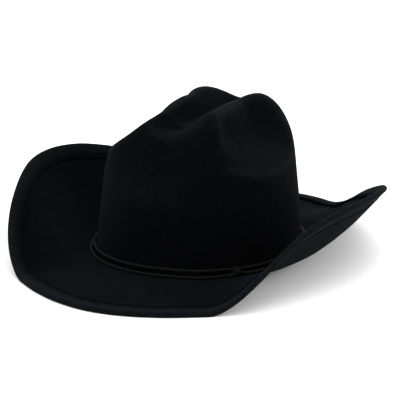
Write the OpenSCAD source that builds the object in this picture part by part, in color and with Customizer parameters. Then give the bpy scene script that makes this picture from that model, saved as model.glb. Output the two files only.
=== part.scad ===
// Western hat of wool felt with a cattleman crown, side curls and a turned brim edge.
// It rests on the brim. Front is -Y, the wearer's left is +X, the lowest brim edge is z = 0.
// As a hand-shaped hat it isn't quite the same on both sides.
// Felt, lining and cord are swept round the head, one section per column of degrees.

/* [Crown] */
// Half the width of the crown at its foot
crown_half_width = 88.5; // [85:0.5:92]
// Half the length of the crown at its foot
crown_half_length = 99.5; // [97:0.5:105]
// Height of the crown before it is creased
crown_height = 132.5; // [124:0.5:136]
// How square the crown is in section, 2 being an ellipse
crown_squareness = 5.5; // [4.5:0.25:6]
// Share of its width that the crown loses towards the top
side_taper = 0.14; // [0.1:0.01:0.18]
// Share of its length that the crown loses towards the top
end_taper = 0.03; // [0.03:0.01:0.06]
// How far the top of the crown leans back
crown_lean = 2; // [0:0.5:2.5]
// Share of its height that the crown loses at the front
front_fall = 0.4; // [0.3:0.01:0.42]

/* [Crease and dents] */
// Depth of the long crease on top
crease_depth = 20; // [10:1:25]
// Half the width of the long crease at the back
crease_width = 15.5; // [13:0.5:18]
// How much wider the crease is at the front
crease_widen = 9; // [3:1:10]
// How far the front of the crease drifts to the wearer's right
crease_drift = 8; // [0:1:10]
// Share of its width that the crown loses in the side dents
dent_depth = 0.5; // [0.3:0.01:0.52]
// Half the length of each side dent
dent_length = 65; // [58:1:68]
// How far behind the middle the side dents lie
dent_back = 6; // [3:1:10]

/* [Brim] */
// Width of the brim at the sides, along the felt
brim_width_side = 97; // [90:1:102]
// Width of the brim at the front
brim_width_front = 83; // [80:1:92]
// Width of the brim at the back
brim_width_back = 90; // [85:1:96]
// Slope of the side curl at its edge, in degrees
curl_angle = 57; // [50:1:66]
// Thickness of the felt
felt = 2.2; // [1.8:0.1:2.4]
// Width of the turned-over edge
fold_width = 12; // [10:1:14]

/* [Hat band, sweatband and lining] */
// Thickness of the band's cord
cord_d = 2.6; // [2:0.1:2.8]
// Height of the upper cord above the crown's foot
cord_upper_z = 6.5; // [6:0.5:9]
// Thickness of the sweatband
sweatband_t = 1.2; // [0.8:0.1:1.4]

/* [Hidden] */

// Columns round the head from the wearer's left, rows down from the crown's axis, in degrees
column_step = 6;
row_step = 4.5;
last_row = 85.5;
columns = [0:column_step:359];
brim_steps = 12;

// Where along Y the crown falls at the front and where its crease begins and ends
fall_from = -16;
fall_to = -82;
crease_front = [-52, -23];
crease_back = [58, 101];
// Where along Y the crease has fully widened and drifted, and where it starts to
crease_shift = [20, -40];
// Below dent_top the side dents reach down by dent_height, the left one slanting forward, and
// they deepen from dent_rim to dent_lip, as shares of that reach
dent_top = 118;
dent_height = 35;
dent_slant = 0.45;
dent_squareness = 3;
dent_rim = 1.05;
dent_lip = 0.3;

// Brim slopes in degrees, where it leaves the crown and at its edge
leave_side = 3;
leave_front = 1;
leave_back = -5.5;
edge_front = -7.5;
edge_back = -4;
// Where the side curl starts towards the front and the back, and how late it bends up
curl_start_front = 0.57;
curl_start_back = 0.22;
bend_front = 0.54;
bend_back = 0.25;
curl_front_gain = 0.1;
// How much narrower the brim is at its corners, and how far its sides dip at the crown
corner_trim_front = 13;
corner_trim_back = 21;
// How far the left rear corner is drawn out, in mm, and down, in degrees, and the columns where it is
pull = 7;
pull_relax = 4;
pull_column = 32;
pull_width = 20;
side_dip = 3;
foot_radius = 5;
// How much of the lowest edge is pressed flat where the hat rests
rest_flat = 0.5;

// Turned edge: the slit between its layers, its wire and the channel round the wire
slit = 0.1;
wire_r = 0.8;
channel_r = 1;
edge_r = channel_r + felt - 0.4;

thread_r = 0.4;
thread_gap = 0.1;
edge_stitch_inset = 9.5;
reed_r = 0.75;
reed_z = 0.8;
lining_t = 0.5;
layer_gap = 0.3;
lining_rows = [81:-row_step:40.5];
lining_tip_edge = 40.2;
lining_in = felt + layer_gap;
sweatband_in = lining_in + lining_t + layer_gap;
sweatband_out = sweatband_in + sweatband_t;
sweatband_rows = [88.5, 85.5, 81, 76.5, 72];
seam_rows = [81, 76.5, 73];
seam_t = 0.6;

cord_r = cord_d / 2;
cord_gap = 0.25;
cord_lower_s = 4.8;
knot_column = 321;
knot_r = 2.4;
knot_length = 9;
knot_clear = [0.8, 0.6];
tail_r = 1.1;
tail_gap = 0.5;
tail_s = 8.4;

function ease(a, b, x) = let (t = min(1, max(0, (x - a) / (b - a)))) t * t * (3 - 2 * t);
function bell(x, width) = exp(-pow(x / width, 2));
function unit(v) = v / norm(v);
function mix(a, b, t) = a + (b - a) * t;
function reversed(list) = [for (i = [len(list) - 1:-1:0]) list[i]];

// Outward direction at the crown's foot, and the shares of side, front and back in it
function outward(a) = unit([cos(a) / crown_half_width, sin(a) / crown_half_length]);
function blend(a, side, front, back) =
    let (n = outward(a))
    side * n[0] * n[0] + (n[1] < 0 ? front : back) * n[1] * n[1];
function foot_z(a) = blend(a, -side_dip, 0, 0);

// ---- Crown ----------------------------------------------------------------

// Shares of the full radius and the full height, p degrees from the axis, before creasing
function dome(p) =
    let (r = pow(pow(sin(p), crown_squareness) + pow(cos(p), crown_squareness), 1 / crown_squareness))
    [sin(p) / r, cos(p) / r];

// How far a place on the side is from the middle of the dent, 1 being about at its rim
function dent_reach(a, y, z) =
    let (
        below = max(0, dent_top - z),
        slant = cos(a) > 0 ? dent_slant : 0,
        along = abs(y - dent_back + slant * below) / dent_length,
        down = below / dent_height
    )
    pow(pow(along, dent_squareness) + pow(down, dent_squareness), 1 / dent_squareness);

function crown_point(a, p) =
    let (
        d = dome(p),
        y = crown_half_length * sin(a) * d[0] * (1 - end_taper * d[1]) + crown_lean * d[1],
        z = crown_height * d[1] * (1 - front_fall * ease(-fall_from, -fall_to, -y)),
        dent = dent_depth * ease(dent_rim, dent_lip, dent_reach(a, y, z)),
        x = crown_half_width * cos(a) * d[0] * (1 - side_taper * d[1]) * (1 - dent),
        along = ease(crease_front[0], crease_front[1], y) * (1 - ease(crease_back[0], crease_back[1], y)),
        shift = ease(crease_shift[0], crease_shift[1], y),
        half_width = crease_width + crease_widen * shift,
        crease = crease_depth * bell(x + crease_drift * shift, half_width) * along * d[1]
    )
    [x, y, z - crease + mix(foot_z(a), -side_dip / 2, d[1])];

// Outward normal, from small steps on the surface
function crown_normal(a, p) =
    let (
        q = min(89.5, max(1, p)),
        across = crown_point(a + 1, q) - crown_point(a - 1, q),
        down = crown_point(a, q + 0.5) - crown_point(a, q - 0.5)
    )
    unit(cross(down, across));

function crown_vertex(a, p, depth) =
    crown_point(a, p) - depth * (p == 0 ? [0, 0, 1] : crown_normal(a, p));

// A point of the crown at some depth below its face; between rows it lies on the facets
function crown_at(a, p, depth) =
    let (row = floor(p / row_step) * row_step)
    mix(crown_vertex(a, row, depth), crown_vertex(a, row + row_step, depth), (p - row) / row_step);

// ---- Brim -----------------------------------------------------------------

// How much of the pull at the left rear corner a column has
function pulled(a) = bell(min(abs(a - pull_column), 360 - abs(a - pull_column)), pull_width);

function brim_width(a) =
    let (side = pow(outward(a)[0], 2))
    blend(a, brim_width_side, brim_width_front, brim_width_back)
        - 4 * side * blend(a, 0, corner_trim_front, corner_trim_back)
        + pull * pulled(a);

function edge_slope(a) =
    let (
        n = outward(a),
        front = n[1] < 0,
        curl = ease(front ? curl_start_front : curl_start_back, 1, abs(n[0])),
        curled = curl_angle * (1 - curl_front_gain * n[1])
    )
    mix(front ? edge_front : edge_back, curled, curl) - pull_relax * pulled(a);

// Slope of the brim at share t of its width
function brim_slope(a, t) =
    let (bend = mix(bend_front, bend_back, (1 + outward(a)[1]) / 2))
    mix(blend(a, leave_side, leave_front, leave_back), edge_slope(a), pow(t, bend));

// The brim's top face as [out, up] from the crown's foot, one point per step
function brim_profile(a) =
    let (step = brim_width(a) / brim_steps)
    [for (i = 0, slope = 0, p = [0, foot_z(a)];
          i <= brim_steps;
          slope = brim_slope(a, (i + 0.5) / brim_steps),
          p = p + step * [cos(slope), sin(slope)],
          i = i + 1) p];

// The [out, up] point s along that face and h above it
function on_brim(a, profile, s, h) =
    let (
        step = brim_width(a) / brim_steps,
        i = min(brim_steps - 1, floor(s / step)),
        along = unit(profile[i + 1] - profile[i])
    )
    profile[i] + along * (s - i * step) + [-along[1], along[0]] * h;

function around_foot(a, radius, angle) =
    [foot_radius - radius * cos(angle), foot_z(a) + foot_radius - radius * sin(angle)];

// A round section of r about [s, h] on the brim, clockwise through the given angles
function brim_arc(a, profile, s, h, r, angles) =
    [for (t = angles) on_brim(a, profile, s + r * cos(t), h + r * sin(t))];

function at_column(a, p) =
    let (n = outward(a))
    [crown_half_width * cos(a) + n[0] * p[0], crown_half_length * sin(a) + n[1] * p[0], p[1]];

// Places [out, up] points at a column
function placed(a, points) = [for (p = points) at_column(a, p)];

// The brim's rounded edge decides how far the hat is lifted onto z = 0 and where its middle is
function edge_points(a) =
    placed(a, brim_arc(a, brim_profile(a), brim_width(a), slit / 2, edge_r, [0:-15:-90]));
edge = [for (a = columns) each edge_points(a)];
lift = -min([for (p = edge) p[2]]) - rest_flat;
middle = [for (axis = [0, 1]) (max([for (p = edge) p[axis]]) + min([for (p = edge) p[axis]])) / 2];

// Centres points, lifts them and presses flat what would be below the table
function rested(points) = [for (p = points) [p[0] - middle[0], p[1] - middle[1], max(0, p[2] + lift)]];

// ---- Solids of columns ------------------------------------------------------

// Walls between neighbouring sections of m points; the shorter diagonal lets nested layers share their facets
function quads(points, count, m, closed_loop) =
    [for (i = [0:count - 1], j = [0:m - (closed_loop ? 1 : 2)])
        let (
            k = (j + 1) % m,
            next = (i + 1) % count,
            a = i * m + j,
            b = i * m + k,
            c = next * m + k,
            d = next * m + j
        )
        each norm(points[a] - points[c]) < norm(points[b] - points[d])
            ? [[a, c, b], [a, d, c]]
            : [[a, d, b], [b, d, c]]];

// A ring: every section is a closed loop, clockwise with outward to the right
module ring_solid(sections) {
    points = [for (s = sections) each rested(s)];
    polyhedron(points, quads(points, len(sections), len(sections[0]), true));
}

// A cap: every section runs from the upper pole out, round the rim and back to the lower pole
module cap_solid(sections, upper, lower) {
    m = len(sections[0]);
    n = len(sections);
    points = concat([for (s = sections) each rested(s)], rested([upper, lower]));
    ends = [for (i = [0:n - 1])
        let (next = (i + 1) % n)
        each [[n * m, next * m, i * m], [n * m + 1, i * m + m - 1, next * m + m - 1]]];
    polyhedron(points, concat(quads(points, n, m, false), ends));
}

// A strip: like a ring, but with two flat ends
module strip_solid(sections) {
    m = len(sections[0]);
    last = (len(sections) - 1) * m;
    walls = [for (i = [0:len(sections) - 2], j = [0:m - 1])
        let (k = (j + 1) % m, a = i * m + j, b = i * m + k)
        each [[a, b + m, b], [a, a + m, b + m]]];
    polyhedron(
        [for (s = sections) each rested(s)],
        concat(walls, [[for (j = [0:m - 1]) j]], [[for (j = [m - 1:-1:0]) last + j]])
    );
}

// ---- Felt -----------------------------------------------------------------

// Out under the turned edge, round the wire's channel, back, then over the edge to the underside
function turned_edge(a, profile) =
    let (
        w = brim_width(a),
        mid = slit / 2,
        top = slit + felt,
        wall = channel_r * cos(30)
    )
    concat(
        [on_brim(a, profile, w - fold_width / 2, 0), on_brim(a, profile, w - wall, 0)],
        brim_arc(a, profile, w, mid, channel_r, [210:60:510]),
        [for (s = [wall, fold_width / 2, fold_width]) on_brim(a, profile, w - s, slit)],
        [for (s = [fold_width, edge_stitch_inset, edge_r]) on_brim(a, profile, w - s, top)],
        brim_arc(a, profile, w, mid, edge_r, [100:-35:-75]),
        [for (s = [edge_r + 1, edge_stitch_inset]) on_brim(a, profile, w - s, -felt)]
    );

function felt_section(a) =
    let (
        profile = brim_profile(a),
        w = brim_width(a),
        inner = foot_radius + felt,
        top_end = w - fold_width,
        stations = [for (t = [0:0.2:1]) mix(foot_radius, top_end, t)]
    )
    concat(
        [for (p = [row_step:row_step:last_row]) crown_at(a, p, 0)],
        placed(a, [for (t = [0, 45]) around_foot(a, foot_radius, t)]),
        placed(a, [for (s = stations) on_brim(a, profile, s, 0)]),
        placed(a, turned_edge(a, profile)),
        placed(a, reversed([for (s = stations) on_brim(a, profile, s, -felt)])),
        placed(a, [for (t = [45, 0]) around_foot(a, inner, t)]),
        [for (p = [last_row:-row_step:row_step]) crown_at(a, p, felt)]
    );

module felt_body() {
    color([0.03, 0.03, 0.035])
    cap_solid([for (a = columns) felt_section(a)], crown_at(0, 0, 0), crown_at(0, 0, felt));
}

module brim_wire() {
    color([0.6, 0.6, 0.62])
    ring_solid([for (a = columns)
        placed(a, brim_arc(a, brim_profile(a), brim_width(a), slit / 2, wire_r, [330:-60:30]))]);
}

// One run of thread lies on the turned edge, the other under it
module brim_edge_stitching() {
    clear = thread_r + thread_gap;
    for (h = [slit + felt + clear, -felt - clear])
        color([0.02, 0.02, 0.02])
        ring_solid([for (a = columns)
            placed(a, brim_arc(a, brim_profile(a), brim_width(a) - edge_stitch_inset, h, thread_r, [315:-90:45]))]);
}

// ---- Inside the crown -------------------------------------------------------

// A loop that goes up the inner face and down the outer one
function layer_loop(a, rows, inner, outer) =
    concat(
        [for (p = rows) crown_at(a, p, inner)],
        reversed([for (p = rows) crown_at(a, p, outer)])
    );

module sweatband() {
    color([0.1, 0.08, 0.07])
    ring_solid([for (a = columns) layer_loop(a, sweatband_rows, sweatband_out, sweatband_in)]);
}

module sweatband_reed() {
    out = -(sweatband_in + sweatband_out) / 2;
    color([0.12, 0.12, 0.12])
    ring_solid([for (a = columns)
        placed(a, [for (t = [330:-60:30]) [out, foot_z(a) + reed_z] + reed_r * [cos(t), sin(t)]])]);
}

module sweatband_stitching() {
    out = sweatband_out + thread_gap + thread_r;
    color([0.2, 0.2, 0.2])
    ring_solid([for (a = columns)
        let (c = crown_at(a, 87, out), n = outward(a))
        [for (t = [315:-90:45]) c + thread_r * [n[0] * cos(t), n[1] * cos(t), sin(t)]]]);
}

// Tape over the butted ends of the sweatband, at the back of the head
module sweatband_rear_seam() {
    near = sweatband_out + 0.1;
    color([0.05, 0.05, 0.05])
    strip_solid([for (a = [84, 90, 96]) layer_loop(a, seam_rows, near + seam_t, near)]);
}

module lining_side() {
    color([0.06, 0.06, 0.07])
    ring_solid([for (a = columns) layer_loop(a, lining_rows, lining_in + lining_t, lining_in)]);
}

module lining_tip() {
    rows = concat([for (p = [row_step:row_step:36]) p], [lining_tip_edge]);
    color([0.06, 0.06, 0.07])
    cap_solid(
        [for (a = columns)
            concat(
                [for (p = rows) crown_at(a, p, lining_in)],
                reversed([for (p = rows) crown_at(a, p, lining_in + lining_t)])
            )],
        crown_at(0, 0, lining_in),
        crown_at(0, 0, lining_in + lining_t)
    );
}

// ---- Hat band ---------------------------------------------------------------

octagon = [337.5:-45:22.5];

module band_cord_upper() {
    out = cord_r + cord_gap;
    color([0.05, 0.05, 0.05])
    ring_solid([for (a = columns)
        placed(a, [for (t = octagon) [out, foot_z(a) + cord_upper_z] + cord_r * [cos(t), sin(t)]])]);
}

module band_cord_lower() {
    color([0.05, 0.05, 0.05])
    ring_solid([for (a = columns)
        placed(a, brim_arc(a, brim_profile(a), cord_lower_s, cord_r + cord_gap, cord_r, octagon))]);
}

// The knot is a spindle that takes in both cords
module band_knot() {
    a = knot_column;
    upper = [cord_r + cord_gap, foot_z(a) + cord_upper_z];
    lower = on_brim(a, brim_profile(a), cord_lower_s, cord_r + cord_gap);
    middle = rested([at_column(a, (upper + lower) / 2 + knot_clear)])[0];
    tilt = atan2(lower[0] - upper[0], upper[1] - lower[1]);
    n = outward(a);
    color([0.05, 0.05, 0.05])
    translate(middle)
    rotate([0, 0, atan2(n[1], n[0])])
    rotate([0, -tilt, 0])
    rotate_extrude($fn = 16)
    polygon(concat(
        [[0, -knot_length / 2]],
        [for (t = [-75:15:75]) [knot_r * pow(cos(t), 0.8), knot_length / 2 * sin(t)]],
        [[0, knot_length / 2]]
    ));
}

// A cord end that lies on the brim beside the lower cord, from column a0 to column a1
module band_tail(a0, a1, s0, s1) {
    color([0.05, 0.05, 0.05])
    strip_solid([for (t = [0:0.25:1])
        let (a = mix(a0, a1, t))
        placed(a, brim_arc(a, brim_profile(a), mix(s0, s1, t), tail_r + tail_gap, tail_r, octagon))]);
}

module band_tail_rear() {
    band_tail(knot_column + 2, knot_column + 15, tail_s, tail_s + 2);
}

module band_tail_front() {
    band_tail(knot_column - 6, knot_column - 2, tail_s + 1.5, tail_s);
}

felt_body();
brim_wire();
brim_edge_stitching();
sweatband();
sweatband_reed();
sweatband_stitching();
sweatband_rear_seam();
lining_side();
lining_tip();
band_cord_upper();
band_cord_lower();
band_knot();
band_tail_rear();
band_tail_front();
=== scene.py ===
import bpy
import numpy as np
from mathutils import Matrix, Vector


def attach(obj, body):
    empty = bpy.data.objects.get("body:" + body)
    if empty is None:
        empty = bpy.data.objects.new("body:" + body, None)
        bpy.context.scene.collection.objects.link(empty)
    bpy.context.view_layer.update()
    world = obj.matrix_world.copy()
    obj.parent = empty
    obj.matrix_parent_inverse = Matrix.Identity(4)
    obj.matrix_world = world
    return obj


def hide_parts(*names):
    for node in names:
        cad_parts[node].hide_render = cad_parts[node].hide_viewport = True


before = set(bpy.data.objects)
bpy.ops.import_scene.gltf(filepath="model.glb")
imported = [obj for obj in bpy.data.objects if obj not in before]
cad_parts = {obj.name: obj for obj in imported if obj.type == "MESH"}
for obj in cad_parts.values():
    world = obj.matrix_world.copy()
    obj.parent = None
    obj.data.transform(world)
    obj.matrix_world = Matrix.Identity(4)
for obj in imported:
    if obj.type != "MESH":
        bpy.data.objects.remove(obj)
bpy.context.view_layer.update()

# A black western hat. The felt follows the same formulas as the CAD, at a finer pitch, in millimetres.
MM = 0.001

# ---- Sizes, as in the CAD ---------------------------------------------------
CROWN_HALF_WIDTH, CROWN_HALF_LENGTH, CROWN_HEIGHT = 88.5, 99.5, 132.5
CROWN_SQUARENESS, SIDE_TAPER, END_TAPER, CROWN_LEAN = 5.5, 0.14, 0.03, 2
FRONT_FALL, FALL_FROM, FALL_TO = 0.4, -16, -82
CREASE_DEPTH, CREASE_WIDTH, CREASE_WIDEN, CREASE_DRIFT = 20, 15.5, 9, 8
CREASE_FRONT, CREASE_BACK, CREASE_SHIFT = (-52, -23), (58, 101), (20, -40)
DENT_DEPTH, DENT_LENGTH, DENT_BACK, DENT_SLANT = 0.5, 65, 6, 0.45
DENT_TOP, DENT_HEIGHT, DENT_SQUARENESS = 118, 35, 3
DENT_RIM, DENT_LIP = 1.05, 0.3
BRIM_SIDE, BRIM_FRONT, BRIM_BACK = 97, 83, 90
CURL_ANGLE, CURL_FRONT_GAIN = 57, 0.1
LEAVE_SIDE, LEAVE_FRONT, LEAVE_BACK = 3, 1, -5.5
EDGE_FRONT, EDGE_BACK = -7.5, -4
CURL_START_FRONT, CURL_START_BACK = 0.57, 0.22
BEND_FRONT, BEND_BACK = 0.54, 0.25
CORNER_TRIM_FRONT, CORNER_TRIM_BACK = 13, 21
PULL, PULL_RELAX, PULL_COLUMN, PULL_WIDTH = 7, 4, 32, 20
SIDE_DIP, FOOT_RADIUS, REST_FLAT = 3, 5, 0.5
FELT, FOLD_WIDTH, SLIT, CHANNEL_R = 2.2, 12, 0.1, 1
EDGE_R = CHANNEL_R + FELT - 0.4
EDGE_STITCH_INSET = 9.5
BRIM_STEPS = 12
LAYER_GAP = 0.3
LINING_IN = FELT + LAYER_GAP
LINING_T = 0.5
SWEATBAND_IN = LINING_IN + LINING_T + LAYER_GAP
SWEATBAND_T = 1.2
SWEATBAND_OUT = SWEATBAND_IN + SWEATBAND_T
CORD_R, CORD_GAP, CORD_UPPER_Z, CORD_LOWER_S = 1.3, 0.25, 6.5, 4.8
REED_R, REED_Z = 0.75, 0.8
KNOT_COLUMN = 321
TAIL_R, TAIL_GAP, TAIL_S = 1.1, 0.5, 8.4

COLUMNS = np.arange(0.0, 360.0, 1.0)
TOP_Z = np.array([0, 0, 1])


# ---- Shape formulas -----------------------------------------------------------
def ease(a, b, x):
    t = np.clip((x - a) / (b - a), 0, 1)
    return t * t * (3 - 2 * t)


def bell(x, width):
    return np.exp(-((x / width) ** 2))


def mix(a, b, t):
    return a + (b - a) * t


def unit(v):
    return v / np.linalg.norm(v, axis=-1, keepdims=True)


def cosd(a):
    return np.cos(np.radians(a))


def sind(a):
    return np.sin(np.radians(a))


def through(stops, share):
    """A value that goes evenly from stop to stop as share goes from 0 to 1."""
    return np.interp(share, np.linspace(0, 1, len(stops)), stops)


def outward(a):
    """Outward direction at the crown's foot for each column, as (n, 2)."""
    return unit(np.stack([cosd(a) / CROWN_HALF_WIDTH, sind(a) / CROWN_HALF_LENGTH], -1))


def blend(a, side, front, back):
    """Goes from one value to the next round the hat."""
    n = outward(a)
    return side * n[..., 0] ** 2 + np.where(n[..., 1] < 0, front, back) * n[..., 1] ** 2


def foot_z(a):
    return blend(a, -SIDE_DIP, 0, 0)


def dome(p):
    """Shares of the full radius and height, p degrees from the crown's axis, before creasing."""
    s, c = max(0.0, float(sind(p))), max(0.0, float(cosd(p)))
    r = (s**CROWN_SQUARENESS + c**CROWN_SQUARENESS) ** (1 / CROWN_SQUARENESS)
    return s / r, c / r


def crown_point(a, p):
    """The crown's outer face at columns a and p degrees from its axis, with its dents and crease."""
    out, up = dome(p)
    y = CROWN_HALF_LENGTH * sind(a) * out * (1 - END_TAPER * up) + CROWN_LEAN * up
    z = CROWN_HEIGHT * up * (1 - FRONT_FALL * ease(-FALL_FROM, -FALL_TO, -y))
    below = np.maximum(0, DENT_TOP - z)
    slant = np.where(cosd(a) > 0, DENT_SLANT, 0)
    reach_y = np.abs(y - DENT_BACK + slant * below) / DENT_LENGTH
    reach_z = below / DENT_HEIGHT
    reach = (reach_y**DENT_SQUARENESS + reach_z**DENT_SQUARENESS) ** (1 / DENT_SQUARENESS)
    dent = DENT_DEPTH * ease(DENT_RIM, DENT_LIP, reach)
    x = CROWN_HALF_WIDTH * cosd(a) * out * (1 - SIDE_TAPER * up) * (1 - dent)
    along = ease(CREASE_FRONT[0], CREASE_FRONT[1], y) * (1 - ease(CREASE_BACK[0], CREASE_BACK[1], y))
    shift = ease(CREASE_SHIFT[0], CREASE_SHIFT[1], y)
    crease = CREASE_DEPTH * bell(x + CREASE_DRIFT * shift, CREASE_WIDTH + CREASE_WIDEN * shift) * along * up
    return np.stack([x, y, z - crease + mix(foot_z(a), -SIDE_DIP / 2, up)], -1)


def crown_normal(a, p):
    q = min(89.5, max(1, p))
    across = crown_point(a + 1, q) - crown_point(a - 1, q)
    down = crown_point(a, q + 0.5) - crown_point(a, q - 0.5)
    return unit(np.cross(down, across))


def crown_at(a, p, depth):
    """The crown some depth below its outer face."""
    return crown_point(a, p) - depth * crown_normal(a, p)


def pulled(a):
    """Where the brim's left rear corner was drawn out and down by hand."""
    return bell((a - PULL_COLUMN + 180) % 360 - 180, PULL_WIDTH)


def brim_width(a):
    side = outward(a)[..., 0] ** 2
    trim = 4 * side * blend(a, 0, CORNER_TRIM_FRONT, CORNER_TRIM_BACK)
    return blend(a, BRIM_SIDE, BRIM_FRONT, BRIM_BACK) - trim + PULL * pulled(a)


def edge_slope(a):
    """Slope of the brim at its edge, in degrees."""
    n = outward(a)
    front = n[..., 1] < 0
    reach = np.abs(n[..., 0])
    curl = ease(np.where(front, CURL_START_FRONT, CURL_START_BACK), 1, reach)
    rest = np.where(front, EDGE_FRONT, EDGE_BACK)
    return mix(rest, CURL_ANGLE * (1 - CURL_FRONT_GAIN * n[..., 1]), curl) - PULL_RELAX * pulled(a)


def at_column(a, p):
    """Places [out, up] points at columns a, as (n, 3)."""
    n = outward(a)
    x = CROWN_HALF_WIDTH * cosd(a) + n[..., 0] * p[..., 0]
    y = CROWN_HALF_LENGTH * sind(a) + n[..., 1] * p[..., 0]
    return np.stack([x, y, p[..., 1]], -1)


class Brim:
    """The brim's top face as [out, up] for every column, and points s along it and h above it."""

    def __init__(self, a, steps=BRIM_STEPS):
        self.a = a
        self.width = brim_width(a)
        self.step = self.width / steps
        self.steps = steps
        bend = mix(BEND_FRONT, BEND_BACK, (1 + outward(a)[..., 1]) / 2)
        leave = blend(a, LEAVE_SIDE, LEAVE_FRONT, LEAVE_BACK)
        p = np.stack([np.zeros_like(a), foot_z(a)], -1)
        self.line = [p]
        for i in range(steps):
            slope = mix(leave, edge_slope(a), ((i + 0.5) / steps) ** bend)
            p = p + self.step[:, None] * np.stack([cosd(slope), sind(slope)], -1)
            self.line.append(p)
        self.line = np.array(self.line)
        first = self.line[1] - self.line[0]
        last = self.line[-1] - self.line[-2]
        knots = np.concatenate([[self.line[0] - first], self.line, [self.line[-1] + last]])
        self.tangents = unit(knots[2:] - knots[:-2])

    def at(self, s, h):
        s = np.broadcast_to(np.asarray(s, float), self.a.shape)
        h = np.broadcast_to(np.asarray(h, float), self.a.shape)
        t = np.clip(s / self.step, 0, self.steps)
        i = np.minimum(t.astype(int), self.steps - 1)
        f = (t - i)[:, None]
        k = np.arange(len(self.a))
        along = unit(mix(self.tangents[i, k], self.tangents[i + 1, k], f))
        beyond = np.maximum(0, s - self.width)[:, None]
        up = np.stack([-along[:, 1], along[:, 0]], -1)
        # Hermite interpolation keeps the fine mesh smooth between the steps
        p0, p1 = self.line[i, k], self.line[i + 1, k]
        m0, m1 = self.tangents[i, k] * self.step[:, None], self.tangents[i + 1, k] * self.step[:, None]
        f2, f3 = f * f, f * f * f
        p = (2 * f3 - 3 * f2 + 1) * p0 + (f3 - 2 * f2 + f) * m0 + (3 * f2 - 2 * f3) * p1 + (f3 - f2) * m1
        return at_column(self.a, p + along * beyond + up * h[:, None])

    def around_foot(self, radius, angle):
        out = FOOT_RADIUS - radius * cosd(angle)
        up = FOOT_RADIUS - radius * sind(angle)
        return at_column(self.a, np.stack([np.full_like(self.a, out), foot_z(self.a) + up], -1))

    def arc(self, s, h, r, angles):
        return [self.at(s + r * cosd(t), h + r * sind(t)) for t in angles]


COARSE = Brim(np.arange(0.0, 360.0, 6.0))
EDGE = np.concatenate(COARSE.arc(COARSE.width, SLIT / 2, EDGE_R, np.arange(0, -91, -15)))
LIFT = -EDGE[:, 2].min() - REST_FLAT
MIDDLE = (EDGE[:, :2].min(axis=0) + EDGE[:, :2].max(axis=0)) / 2


def hand_wave(points):
    """Slow unevenness of hand-shaped felt, in millimetres, from its place alone."""
    x, y, z = points[..., 0], points[..., 1], points[..., 2]
    wave = (
        0.35 * np.sin(x / 19 + 1.3) * np.sin(y / 23 + 0.4)
        + 0.25 * np.sin(x / 11 + y / 13 + z / 9)
        + 0.15 * np.sin(y / 7 - z / 8 + 2.1) * np.sin(x / 6.5)
    )
    return np.stack([0.4 * wave, 0.4 * wave, 0.7 * wave * ease(2, 12, z + LIFT)], -1)


def rested(points):
    """Centres points, lifts them onto the table and presses flat what would be below it."""
    p = np.array(points, float)
    p = p + hand_wave(p)
    p[..., :2] -= MIDDLE
    p[..., 2] = np.maximum(0, p[..., 2] + LIFT)
    return p


# ---- Mesh helpers ---------------------------------------------------------------
def grid_faces(rows, columns, loop=False, ring=True):
    """Quads between rows of points; loop joins the last row to the first, ring the last column."""
    j, i = np.meshgrid(np.arange(rows - (not loop)), np.arange(columns - (not ring)), indexing="ij")
    k, n = (j + 1) % rows, (i + 1) % columns
    return np.stack([j * columns + i, k * columns + i, k * columns + n, j * columns + n], -1).reshape(-1, 4)


def fan_faces(start, columns, pole, inward=False):
    """Triangles from one ring of points to a pole."""
    i = np.arange(columns)
    near, far = start + i, start + (i + 1) % columns
    ends = (far, near) if inward else (near, far)
    return np.stack([np.full(columns, pole), *ends], -1)


def tube(path, radii, sides=10):
    """A tube with closed, rounded-off ends along a path of (n, 3) points, as (points, faces)."""
    path = np.asarray(path, float)
    along = unit(np.gradient(path, axis=0))
    side = unit(np.cross(along[0], [0.3, 0.2, 1.0]))
    rings = []
    for point, tangent, radius in zip(path, along, radii):
        side = unit(side - tangent * (side @ tangent))
        up = np.cross(tangent, side)
        turn = np.arange(sides) * 2 * np.pi / sides
        rings.append(point + radius * (np.outer(np.cos(turn), side) + np.outer(np.sin(turn), up)))
    points = np.concatenate(rings + [path[:1], path[-1:]])
    count = len(path) * sides
    faces = [tuple(face[::-1]) for face in grid_faces(len(path), sides)]
    faces += [tuple(face) for face in fan_faces(0, sides, count, inward=True)]
    faces += [tuple(face) for face in fan_faces(count - sides, sides, count + 1)]
    return points, faces


def joined(parts):
    """Several (points, faces) as one."""
    points, faces, start = [], [], 0
    for part_points, part_faces in parts:
        points.append(part_points)
        faces += [tuple(int(i) + start for i in face) for face in part_faces]
        start += len(part_points)
    return np.concatenate(points), faces


def add_piece(name, points, faces, material, body, replaced):
    mesh = bpy.data.meshes.new(name)
    mesh.from_pydata((np.asarray(points) * MM).tolist(), [], [tuple(int(i) for i in f) for f in faces])
    mesh.polygons.foreach_set("use_smooth", [True] * len(mesh.polygons))
    mesh.materials.append(material)
    mesh.validate()
    obj = bpy.data.objects.new(name, mesh)
    bpy.context.scene.collection.objects.link(obj)
    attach(obj, body)
    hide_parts(*replaced)
    return obj


def add_values(obj, name, values):
    """A number for each point, for the material to read."""
    layer = obj.data.attributes.new(name, "FLOAT", "POINT")
    layer.data.foreach_set("value", np.asarray(values, np.float32))


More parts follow.
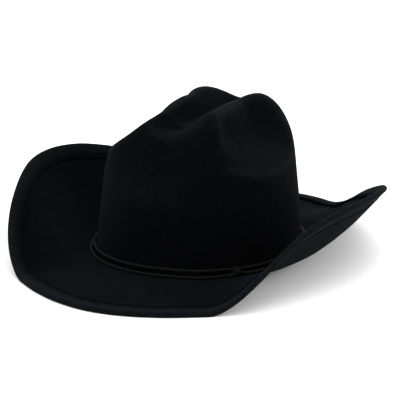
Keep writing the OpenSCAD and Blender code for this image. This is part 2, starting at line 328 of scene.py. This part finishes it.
# ---- Materials --------------------------------------------------------------------
class Material:
    """A Principled material and the procedural nodes that feed it. All scales are per metre."""

    def __init__(self, name, roughness, **inputs):
        self.material = bpy.data.materials.new(name)
        self.material.use_nodes = True
        self.tree = self.material.node_tree
        self.shader = self.tree.nodes["Principled BSDF"]
        self.place = self.node("TexCoord").outputs["Object"]
        self.normal = None
        self.set("Roughness", roughness)
        for key, value in inputs.items():
            self.set(key.replace("_", " "), value)

    def node(self, kind, inputs=(), **settings):
        made = self.tree.nodes.new("ShaderNode" + kind)
        for key, value in settings.items():
            setattr(made, key, value)
        for key, value in dict(inputs).items():
            self.feed(made.inputs[key], value)
        return made

    def feed(self, socket, value):
        if isinstance(value, bpy.types.NodeSocket):
            self.tree.links.new(value, socket)
        else:
            socket.default_value = value

    def set(self, key, value):
        self.feed(self.shader.inputs[key], value)

    def noise(self, scale, detail=3, roughness=0.55, distortion=0, place=None):
        inputs = {
            "Vector": place or self.place,
            "Scale": scale,
            "Detail": detail,
            "Roughness": roughness,
            "Distortion": distortion,
        }
        return self.node("TexNoise", inputs).outputs["Fac"]

    def cells(self, scale, feature="F1"):
        made = self.node("TexVoronoi", {"Vector": self.place, "Scale": scale}, feature=feature)
        return made.outputs["Distance"]

    def waves(self, scale, direction, distortion=0.4):
        inputs = {"Vector": self.place, "Scale": scale, "Distortion": distortion, "Detail Scale": 3}
        return self.node("TexWave", inputs, bands_direction=direction).outputs["Fac"]

    def stretched(self, scale):
        return self.node("Mapping", {"Vector": self.place, "Scale": scale}).outputs["Vector"]

    def spread(self, value, low, high, to_low=0.0, to_high=1.0):
        inputs = {"Value": value, "From Min": low, "From Max": high, "To Min": to_low, "To Max": to_high}
        return self.node("MapRange", inputs).outputs["Result"]

    def math(self, operation, a, b):
        made = self.node("Math", operation=operation)
        self.feed(made.inputs[0], a)
        self.feed(made.inputs[1], b)
        return made.outputs[0]

    def mixed(self, share, a, b):
        """Two colours, each an (r, g, b) or a socket."""
        made = self.node("Mix", data_type="RGBA")
        self.feed(made.inputs["Factor"], share)
        for socket, value in ((made.inputs[6], a), (made.inputs[7], b)):
            self.feed(socket, (*value, 1) if isinstance(value, tuple) else value)
        return made.outputs[2]

    def attribute(self, name):
        return self.node("Attribute", attribute_name=name).outputs["Fac"]

    def bump(self, height, distance, strength=1.0):
        inputs = {"Height": height, "Distance": distance, "Strength": strength}
        if self.normal:
            inputs["Normal"] = self.normal
        self.normal = self.node("Bump", inputs).outputs["Normal"]
        self.set("Normal", self.normal)


def wool_felt():
    """Napped wool felt: matted fibres, brushed patches, grey lint, and a paler brim edge and crown ridges,
    partly wear and partly painted highlight.
    """
    m = Material("wool_felt", 0.95, Specular_IOR_Level=0.012)
    fibres = m.noise(1500, 4, 0.7, 1.2)
    tufts = m.noise(320, 4, 0.6, 0.6)
    patches = m.noise(26, 4, 0.6)
    brushed = m.noise(1, 3, 0.6, 0.3, m.stretched((420, 420, 90)))
    shade = m.mixed(m.spread(patches, 0.35, 0.7), (0.0006, 0.0007, 0.0009), (0.0011, 0.0012, 0.0015))
    shade = m.mixed(m.spread(tufts, 0.4, 0.7, 0, 0.5), shade, (0.0018, 0.0019, 0.0025))
    shade = m.mixed(m.spread(fibres, 0.5, 0.8, 0, 0.6), shade, (0.0024, 0.0026, 0.0033))
    # Painted highlight, partly real wear: the brim edge and the crown's ridges and lips get a paler colour,
    # as if they caught the light.
    shade = m.mixed(m.math("MULTIPLY", m.attribute("wear_and_painted_highlight"), m.spread(tufts, 0.3, 0.7, 0.3, 1)), shade,
                    (0.0060, 0.0064, 0.0080))
    lint = m.spread(m.noise(2600, 2, 0.5, 2.5), 0.79, 0.84, 0, 0.35)
    m.set("Base Color", m.mixed(lint, shade, (0.03, 0.03, 0.033)))
    m.set("Sheen Weight", m.spread(tufts, 0.3, 0.7, 0.006, 0.016))
    m.set("Sheen Roughness", 0.5)
    m.set("Sheen Tint", (0.72, 0.8, 1.0, 1))
    m.set("Roughness", m.spread(patches, 0.3, 0.7, 0.88, 1.0))
    m.bump(patches, 0.0012, 0.35)
    m.bump(brushed, 0.0004, 0.35)
    m.bump(tufts, 0.0005, 0.7)
    m.bump(fibres, 0.0003, 0.9)
    return m.material


def sewing_thread():
    """Spun thread, slightly hairy, with a twist."""
    m = Material("sewing_thread", 0.8, Specular_IOR_Level=0.01)
    twist = m.noise(2400, 3, 0.6, 1.5)
    m.set("Base Color", m.mixed(twist, (0.0002, 0.0002, 0.0003), (0.0006, 0.0006, 0.0008)))
    m.set("Sheen Weight", 0.003)
    m.set("Roughness", m.spread(twist, 0.3, 0.7, 0.7, 0.95))
    m.bump(twist, 0.0002, 0.8)
    return m.material


def leather_lace():
    """Smooth black lace with a waxed face, fine pores and dull handled patches."""
    m = Material("leather_lace", 0.7, Specular_IOR_Level=0.06)
    pores = m.cells(1700)
    rubbed = m.noise(140, 4, 0.6)
    shade = m.mixed(m.spread(rubbed, 0.4, 0.7), (0.0016, 0.0018, 0.0018), (0.0034, 0.0036, 0.0036))
    m.set("Base Color", m.mixed(m.spread(pores, 0.0, 0.2, 0.5, 0), shade, (0.001, 0.001, 0.001)))
    m.set("Roughness", m.spread(rubbed, 0.3, 0.7, 0.62, 0.78))
    m.bump(m.noise(600, 3, 0.6), 0.0002, 0.3)
    m.bump(pores, 0.00012, 0.4)
    return m.material


def sweatband_leather():
    """Soft dark leather: pores, fine creases and a slightly polished face."""
    m = Material("sweatband_leather", 0.6, Specular_IOR_Level=0.2)
    pores = m.cells(1300)
    creases = m.cells(260, "DISTANCE_TO_EDGE")
    stain = m.noise(45, 4, 0.6)
    shade = m.mixed(m.spread(stain, 0.35, 0.7), (0.010, 0.008, 0.007), (0.020, 0.016, 0.014))
    shade = m.mixed(m.spread(creases, 0.0, 0.05, 0.5, 0), shade, (0.006, 0.005, 0.0045))
    m.set("Base Color", m.mixed(m.spread(pores, 0.0, 0.18, 0.6, 0), shade, (0.004, 0.003, 0.003)))
    m.set("Roughness", m.spread(stain, 0.3, 0.7, 0.5, 0.7))
    m.bump(m.spread(creases, 0, 0.08), 0.0002, 0.5)
    m.bump(pores, 0.00015, 0.5)
    return m.material


def satin():
    """Satin lining: fine floating threads, a soft lustre and pressed-in creases."""
    m = Material("satin", 0.34, Specular_IOR_Level=0.5)
    weft = m.noise(1, 2, 0.5, 0, m.stretched((260, 260, 4200)))
    warp = m.noise(1, 2, 0.5, 0, m.stretched((3600, 3600, 220)))
    creases = m.noise(60, 4, 0.55, 0.8)
    shade = m.mixed(m.spread(creases, 0.35, 0.7), (0.012, 0.012, 0.016), (0.026, 0.026, 0.034))
    m.set("Base Color", m.mixed(m.spread(weft, 0.35, 0.7, 0, 0.6), shade, (0.045, 0.045, 0.055)))
    m.set("Roughness", m.spread(warp, 0.3, 0.7, 0.28, 0.44))
    m.set("Anisotropic", 0.5)
    m.set("Sheen Weight", 0.2)
    m.bump(creases, 0.0008, 0.5)
    m.bump(weft, 0.00012, 0.6)
    m.bump(warp, 0.00008, 0.4)
    return m.material


def grosgrain():
    """Ribbed tape."""
    m = Material("grosgrain", 0.7, Specular_IOR_Level=0.3)
    ribs = m.waves(330, "Z", 0.2)
    threads = m.noise(2200, 3, 0.6)
    lit = m.math("MULTIPLY", ribs, threads)
    m.set("Base Color", m.mixed(lit, (0.003, 0.003, 0.004), (0.022, 0.022, 0.026)))
    m.set("Sheen Weight", 0.2)
    m.set("Roughness", m.spread(threads, 0.3, 0.7, 0.6, 0.8))
    m.bump(ribs, 0.0003, 0.7)
    m.bump(threads, 0.0001, 0.5)
    return m.material


def drawn_wire():
    """Steel wire with lines from the drawing die and a little oxide."""
    m = Material("drawn_wire", 0.35, Metallic=1.0)
    oxide = m.noise(300, 4, 0.6)
    m.set("Base Color", m.mixed(m.spread(oxide, 0.4, 0.7), (0.5, 0.5, 0.51), (0.3, 0.27, 0.24)))
    m.set("Roughness", m.spread(oxide, 0.3, 0.7, 0.28, 0.55))
    m.bump(m.noise(2000, 2), 0.00005, 0.3)
    return m.material


def reed_plastic():
    """Extruded plastic reed, with faint die lines."""
    m = Material("reed_plastic", 0.45)
    lines = m.noise(1, 3, 0.5, 0, m.stretched((200, 200, 3000)))
    m.set("Base Color", m.mixed(lines, (0.02, 0.02, 0.021), (0.04, 0.04, 0.042)))
    m.set("Roughness", m.spread(lines, 0.3, 0.7, 0.4, 0.55))
    m.bump(lines, 0.00008, 0.4)
    return m.material


# ---- Felt ---------------------------------------------------------------------------
def stitch_groove(brim, s, depth):
    """How far the thread draws the felt in at s along the brim."""
    return depth * bell(s - (brim.width - EDGE_STITCH_INSET), 1.3)


def felt_rows(brim):
    """The felt's section rows, each (n, 3): outer crown, brim, turned edge, underside, inner crown."""
    a, w = brim.a, brim.width
    crown = [crown_at(a, p, 0) for p in np.arange(1, 86)]
    fillet = [brim.around_foot(FOOT_RADIUS, t) for t in np.arange(0, 90, 15)]
    inner_fillet = [brim.around_foot(FOOT_RADIUS + FELT, t) for t in np.arange(75, -1, -15)]
    top_end = w - FOLD_WIDTH
    shares = np.linspace(0, 1, 26)
    top = [brim.at(mix(FOOT_RADIUS, top_end, t), 0) for t in shares]
    wall = CHANNEL_R * cosd(30)
    slit_in = [brim.at(mix(top_end, w - wall, t), 0) for t in (0.3, 0.6, 1)]
    channel = brim.arc(w, SLIT / 2, CHANNEL_R, np.arange(210, 511, 30))
    slit_out = [brim.at(mix(top_end, w - wall, t), SLIT) for t in (1, 0.6, 0.3, 0.04)]
    top_h = SLIT + FELT
    corner = 0.7
    raw = [brim.at(top_end - 0.1 * t, mix(SLIT, top_h - corner, t)) for t in (0.1, 0.5, 1)]
    raw += brim.arc(top_end + corner, top_h - corner, corner, np.arange(160, 89, -23))
    fold = []
    for t in np.linspace(0.12, 1, 17):
        s = mix(top_end, w - EDGE_R, t)
        fold.append(brim.at(s, top_h - stitch_groove(brim, s, 0.55)))
    edge = brim.arc(w, SLIT / 2, EDGE_R, np.arange(86, -87, -12))
    under = []
    for t in np.concatenate([np.linspace(1, 0.84, 18), np.linspace(0.8, 0, 22)]):
        s = mix(FOOT_RADIUS, w - EDGE_R, t)
        under.append(brim.at(s, -FELT + stitch_groove(brim, s, 0.5)))
    inner = [crown_at(a, p, FELT) for p in np.arange(85, 0, -1)]
    outside = crown + fillet + top
    turned = slit_in + channel + slit_out + raw + fold + edge
    return outside + turned + under + inner_fillet + inner


def bulge(before, here, after, normal):
    """How sharply lines of points bend outward, per mm."""
    stands_out = np.sum((here - (before + after) / 2) * normal, axis=-1)
    return 8 * stands_out / np.sum((after - before) ** 2, axis=-1)


def ridges(rows, reach=4, last=85):
    """Where the crown's outside bends sharply, as at the lips of its crease and dents, from 0 to 1."""
    crown = rows[:last]
    normals = np.array([crown_normal(COLUMNS, p) for p in np.arange(1, last + 1)])
    across = bulge(np.roll(crown, reach, axis=1), crown, np.roll(crown, -reach, axis=1), normals)
    down = bulge(crown[: -2 * reach], crown[reach:-reach], crown[2 * reach :], normals[reach:-reach])
    found = np.zeros(rows.shape[:2])
    found[:last] = across
    found[reach : last - reach] = np.maximum(across[reach:-reach], down)
    return ease(0.02, 0.09, found)


def felt_body():
    brim = Brim(COLUMNS)
    rows = np.array(felt_rows(brim))
    count, columns = rows.shape[:2]
    pole = crown_point(0, 0)
    points = rested(np.concatenate([rows.reshape(-1, 3), [pole, pole - FELT * TOP_Z]]))
    faces = [tuple(f) for f in grid_faces(count, columns)]
    faces += [tuple(f) for f in fan_faces(0, columns, count * columns)]
    faces += [tuple(f) for f in fan_faces((count - 1) * columns, columns, count * columns + 1, inward=True)]
    felt = add_piece("felt_hat", points, faces, wool_felt(), "hat", ["felt_body"])
    out = brim.at(brim.width, 0)[:, :2]
    from_edge = np.linalg.norm(rows[..., :2] - out, axis=-1)
    # Paler colour on the brim edge and crown ridges: partly wear, partly painted highlight.
    wear_and_painted_highlight = np.maximum(bell(from_edge, 5), ridges(rows))
    add_values(felt, "wear_and_painted_highlight", np.concatenate([wear_and_painted_highlight.ravel(), [0, 0]]))


def run_of_stitches(top, low, pitch, length, radius):
    """Separate stitches along a closed line of points; their ends dip from top towards low."""
    top, low = (np.concatenate([line, line[:1]]) for line in (top, low))
    walked = np.concatenate([[0], np.cumsum(np.linalg.norm(np.diff(top, axis=0), axis=1))])
    count = round(walked[-1] / pitch)
    pitch = walked[-1] / count
    parts = []
    for i in range(count):
        share = np.linspace(-0.5, 0.5, 7)
        at = (i + 0.5) * pitch + share * length
        upper = np.stack([np.interp(at, walked, top[:, k]) for k in range(3)], -1)
        lower = np.stack([np.interp(at, walked, low[:, k]) for k in range(3)], -1)
        dip = (2 * np.abs(share))[:, None] ** 3
        radii = radius * (1 - 0.35 * (2 * np.abs(share)) ** 4)
        parts.append(tube(mix(upper, lower, dip), radii, 7))
    return joined(parts)


def thread_ends():
    """The knotted ends of the edge thread, lying on the brim. Each stop is (column, inset, h)."""
    knot = [(58 + 0.7 * cosd(t), 26 + 1.3 * sind(t), 1 + t / 700) for t in range(0, 720, 45)]
    rear = [(59, 9.5, 2.1), (58.8, 14, 1), (58.4, 20, 0.9), (58, 26, 1.5), (59.5, 28, 1.6), (61.5, 30, 0.8)]
    side = [(59, 9.5, 2.1), (58.2, 14, 1.4), (57.6, 20, 1.1), (58, 26, 1.2), (56, 25, 2), (54.5, 22.5, 0.8)]
    ends = []
    for stops in (knot, rear, side):
        a, inset, h = (through(values, np.linspace(0, 1, 40)) for values in zip(*stops))
        brim = Brim(a)
        ends.append(tube(rested(brim.at(brim.width - inset, h)), np.full(len(a), 0.6), 8))
    return ends


def edge_stitching():
    brim = Brim(COLUMNS)
    s = brim.width - EDGE_STITCH_INSET
    top_h = SLIT + FELT - 0.2
    under_h = -FELT + 0.15
    runs = []
    for high, deep in ((top_h, top_h - 0.9), (under_h, under_h + 0.9)):
        runs.append(run_of_stitches(rested(brim.at(s, high)), rested(brim.at(s, deep)), 3.6, 3.2, 0.36))
    runs += thread_ends()
    points, faces = joined(runs)
    add_piece("edge_stitches", points, faces, sewing_thread(), "hat", ["brim_edge_stitching"])


# ---- Inside the crown -----------------------------------------------------------------
def sweatband():
    brim = Brim(COLUMNS)
    a = brim.a
    rows = np.linspace(72, 88.5, 18)
    middle = -(SWEATBAND_IN + SWEATBAND_OUT) / 2
    roll = SWEATBAND_T / 2
    welt = REED_R + 0.35
    depth = [SWEATBAND_OUT + 0.15 * np.sin(np.radians(7 * a)) * ease(88, 74, p) for p in rows]
    inner = [crown_at(a, p, d[:, None]) for p, d in zip(rows, depth)]
    turned = []
    for t in np.arange(160, 381, 20):
        out = np.full_like(a, middle + welt * cosd(t))
        turned.append(at_column(a, np.stack([out, foot_z(a) + REED_Z + welt * sind(t)], -1)))
    outer = [crown_at(a, p, SWEATBAND_IN) for p in rows[::-1]]
    rolled = []
    for t in (30, 60, 90, 120, 150):
        rolled.append(crown_at(a, 72 - 0.4 * sind(t), SWEATBAND_IN + roll - roll * cosd(t)))
    section = np.array(inner + turned + outer + rolled)
    points = rested(section.reshape(-1, 3))
    faces = grid_faces(len(section), len(a), loop=True)[:, ::-1]
    leather = sweatband_leather()
    obj = add_piece("leather_sweatband", points, faces, leather, "hat", ["sweatband"])


def sweatband_stitching():
    a = COLUMNS
    face = crown_at(a, 87, SWEATBAND_OUT + 0.25)
    behind = crown_at(a, 87, SWEATBAND_OUT - 0.5)
    points, faces = run_of_stitches(rested(face), rested(behind), 3, 2.6, 0.32)
    thread = sewing_thread()
    add_piece("sweatband_stitches", points, faces, thread, "hat", ["sweatband_stitching"])


def rear_seam_tape():
    a = np.linspace(84, 96, 25)
    near = SWEATBAND_OUT + 0.25
    rows = np.linspace(81, 73, 14)
    face = [crown_at(a, p, near + 0.55) for p in rows]
    back = [crown_at(a, p, near) for p in rows[::-1]]
    section = np.array(face + back)
    count, columns = section.shape[:2]
    faces = [tuple(f) for f in grid_faces(count, columns, loop=True, ring=False)]
    half = len(rows)
    for side, order in ((0, 1), (columns - 1, -1)):
        for j in range(half - 1):
            quad = [j, j + 1, count - 2 - j, count - 1 - j]
            faces.append(tuple(k * columns + side for k in quad[::order]))
    obj = add_piece("rear_seam_tape", rested(section.reshape(-1, 3)), faces, grosgrain(), "hat",
                    ["sweatband_rear_seam"])


def gathers(a, p):
    """How far the lining stands off in soft puckers, all of them inward."""
    fine = 0.5 + 0.5 * np.sin(np.radians(60 * a) + 1.5 * np.sin(np.radians(7 * a)))
    slow = 0.5 + 0.5 * np.sin(np.radians(11 * a) + p / 9)
    return 0.8 * fine * bell(p - 40.5, 7) + 1.1 * slow * ease(74, 60, p) * ease(40, 50, p)


def lining_layers(a, rows):
    inner = [crown_at(a, p, (LINING_IN + LINING_T + gathers(a, p))[:, None]) for p in rows]
    outer = [crown_at(a, p, (LINING_IN + gathers(a, p))[:, None]) for p in rows]
    return inner, outer


def lining_side(material):
    a = COLUMNS
    inner, outer = lining_layers(a, np.linspace(81, 40.5, 40))
    section = np.array(inner + outer[::-1])
    faces = grid_faces(len(section), len(a), loop=True)
    points = rested(section.reshape(-1, 3))
    obj = add_piece("satin_lining_side", points, faces, material, "hat", ["lining_side"])


def lining_tip(material):
    a = COLUMNS
    inner, outer = lining_layers(a, np.linspace(1, 40.2, 40))
    section = np.array(outer + inner[::-1])
    count, columns = section.shape[:2]
    pole = crown_point(0, 0)
    low = pole - (LINING_IN + LINING_T) * TOP_Z
    points = rested(np.concatenate([section.reshape(-1, 3), [pole - LINING_IN * TOP_Z, low]]))
    faces = [tuple(f) for f in grid_faces(count, columns)]
    faces += [tuple(f) for f in fan_faces(0, columns, count * columns)]
    faces += [tuple(f) for f in fan_faces((count - 1) * columns, columns, count * columns + 1, inward=True)]
    obj = add_piece("satin_lining_tip", points, faces, material, "hat", ["lining_tip"])


# ---- Hat band -----------------------------------------------------------------------------
def pinch(a):
    """How much the knot draws the cords together, by column."""
    return bell(a - KNOT_COLUMN, 3.2)


def upper_cord_line(a):
    out = CORD_R + CORD_GAP + 1.5 * pinch(a)
    return np.stack([out, foot_z(a) + CORD_UPPER_Z - 0.8 * pinch(a)], -1)


def lower_cord_line(a):
    """The lower cord's middle as [out, up]; it lies where the brim leaves the crown's foot."""
    brim = Brim(a)
    first = unit(brim.line[1] - brim.line[0])
    up = np.stack([-first[:, 1], first[:, 0]], -1)
    lifted = brim.line[0] + first * CORD_LOWER_S + up * (CORD_R + CORD_GAP)
    return lifted + np.stack([0.9 * pinch(a), 1.3 * pinch(a)], -1)


def band_cord(name, line, phase, material, replaced):
    a = COLUMNS
    middle = line(a)
    rows = []
    for t in np.arange(0, 360, 18):
        seam = 0.12 * bell((t + phase + 25 * sind(3 * a)) % 360 - 180, 14)
        r = CORD_R * (1 + 0.025 * np.sin(np.radians(31 * a + phase))) - seam
        rows.append(at_column(a, middle + np.stack([r * cosd(t), r * sind(t)], -1)))
    faces = grid_faces(len(rows), len(a), loop=True)[:, ::-1]
    points = rested(np.array(rows).reshape(-1, 3))
    add_piece(name, points, faces, material, "hat_band", [replaced])


def band_knot(material):
    """Turns of the same lace bound round both cords."""
    turns = 2.4
    wrap_r = 1.0
    column_per_mm = 0.62
    turn = np.linspace(0, 360 * turns, int(40 * turns))
    a = KNOT_COLUMN + column_per_mm * 2 * wrap_r * (turn / 360 - turns / 2)
    upper, lower = upper_cord_line(a), lower_cord_line(a)
    middle = (upper + lower) / 2
    along = unit(upper - lower)
    across = np.stack([along[:, 1], -along[:, 0]], -1)
    half = np.linalg.norm(upper - lower, axis=-1) / 2 + CORD_R + 0.7 * wrap_r
    squared = np.sign(cosd(turn)) * np.abs(cosd(turn)) ** 0.8
    p = middle + along * (half * squared)[:, None] + across * (2.15 * sind(turn))[:, None]
    ends = np.minimum(1, np.minimum(np.arange(len(a)), np.arange(len(a))[::-1]) / 3 + 0.3)
    points, faces = tube(rested(at_column(a, p)), wrap_r * ends, 14)
    add_piece("lace_knot", points, faces, material, "hat_band", ["band_knot"])


def lace_end(name, columns, s, h, material, replaced):
    """A cut end of the lace, lying on the brim, a little fatter where it was cut."""
    share = np.linspace(0, 1, 24)
    a = through(columns, share)
    brim = Brim(a)
    middle = brim.at(through(s, share), through(h, share))
    cut = np.minimum(1, (share[-1] - share) * 16 + 0.55)
    points, faces = tube(rested(middle), TAIL_R * (1 + 0.12 * share**6) * cut, 14)
    add_piece(name, points, faces, material, "hat_band", [replaced])


def hat_band():
    lace = leather_lace()
    band_cord("lace_upper", upper_cord_line, 40, lace, "band_cord_upper")
    band_cord("lace_lower", lower_cord_line, 220, lace, "band_cord_lower")
    band_knot(lace)
    low = TAIL_R + TAIL_GAP
    rear = [KNOT_COLUMN + x for x in (0.5, 5, 10, 15)]
    front = [KNOT_COLUMN - x for x in (0.5, 2.5, 5.5)]
    rear_s, rear_h = (6.5, 8.6, 9.6, TAIL_S + 2), (3.2, low + 0.2, low, low)
    front_s, front_h = (7, 8.6, 10), (2.6, low + 0.3, low)
    lace_end("lace_end_rear", rear, rear_s, rear_h, lace, "band_tail_rear")
    lace_end("lace_end_front", front, front_s, front_h, lace, "band_tail_front")


# ---- Studio --------------------------------------------------------------------------------
def studio():
    """Camera, pale floor, white surround and two soft boxes."""
    azimuth, elevation, distance = 29.34, 16.75, 2.034
    right = Vector((cosd(azimuth), sind(azimuth), 0))
    target = right * 0.00052 + Vector((-MIDDLE[0] * MM, -MIDDLE[1] * MM, 0.0477))
    towards = Vector((sind(azimuth) * cosd(elevation), -cosd(azimuth) * cosd(elevation), sind(elevation)))
    camera = bpy.data.objects.new("camera", bpy.data.cameras.new("camera"))
    camera.data.lens = 207.5
    camera.data.clip_end = 50
    camera.location = target + towards * distance
    camera.rotation_euler = towards.to_track_quat("Z", "Y").to_euler()
    bpy.context.scene.collection.objects.link(camera)
    bpy.context.scene.camera = camera

    paper = Material("floor_paper", 0.9)
    paper.set("Base Color", paper.mixed(paper.noise(3, 2), (0.93, 0.93, 0.93), (0.95, 0.95, 0.95)))
    mesh = bpy.data.meshes.new("floor")
    size = 8
    corners = [(-size, -size, 0), (size, -size, 0), (size, size, 0), (-size, size, 0)]
    mesh.from_pydata(corners, [], [(0, 1, 2, 3)])
    mesh.materials.append(paper.material)
    floor = bpy.data.objects.new("floor", mesh)
    bpy.context.scene.collection.objects.link(floor)

    world = bpy.data.worlds.new("studio")
    world.use_nodes = True
    world.node_tree.nodes["Background"].inputs["Color"].default_value = (1, 1, 1, 1)
    world.node_tree.nodes["Background"].inputs["Strength"].default_value = 1.5
    bpy.context.scene.world = world
    bpy.context.scene.view_settings.view_transform = "Standard"

    # (place from the hat, size, watts): overhead, on the left behind the hat, and low on its right
    boxes = {
        "overhead": ((0.25, -0.15, 1.9), 1.6, 12),
        "left": ((-1.6, 0.6, 1.3), 1.0, 2),
        "low_right": ((1.5, 0.5, 0.5), 1.0, 10),
    }
    for name, (place, width, power) in boxes.items():
        light = bpy.data.objects.new(name, bpy.data.lights.new(name, "AREA"))
        light.data.size = width
        light.data.energy = power
        light.location = place
        light.rotation_euler = Vector(place).to_track_quat("Z", "Y").to_euler()
        bpy.context.scene.collection.objects.link(light)


def finish_cad_node(name, material):
    """A CAD node that stays gets its own material."""
    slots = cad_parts[name].data.materials
    slots.clear()
    slots.append(material)


studio()
felt_body()
edge_stitching()
sweatband()
sweatband_stitching()
rear_seam_tape()
LINING = satin()
lining_side(LINING)
lining_tip(LINING)
hat_band()
finish_cad_node("brim_wire", drawn_wire())
finish_cad_node("sweatband_reed", reed_plastic())
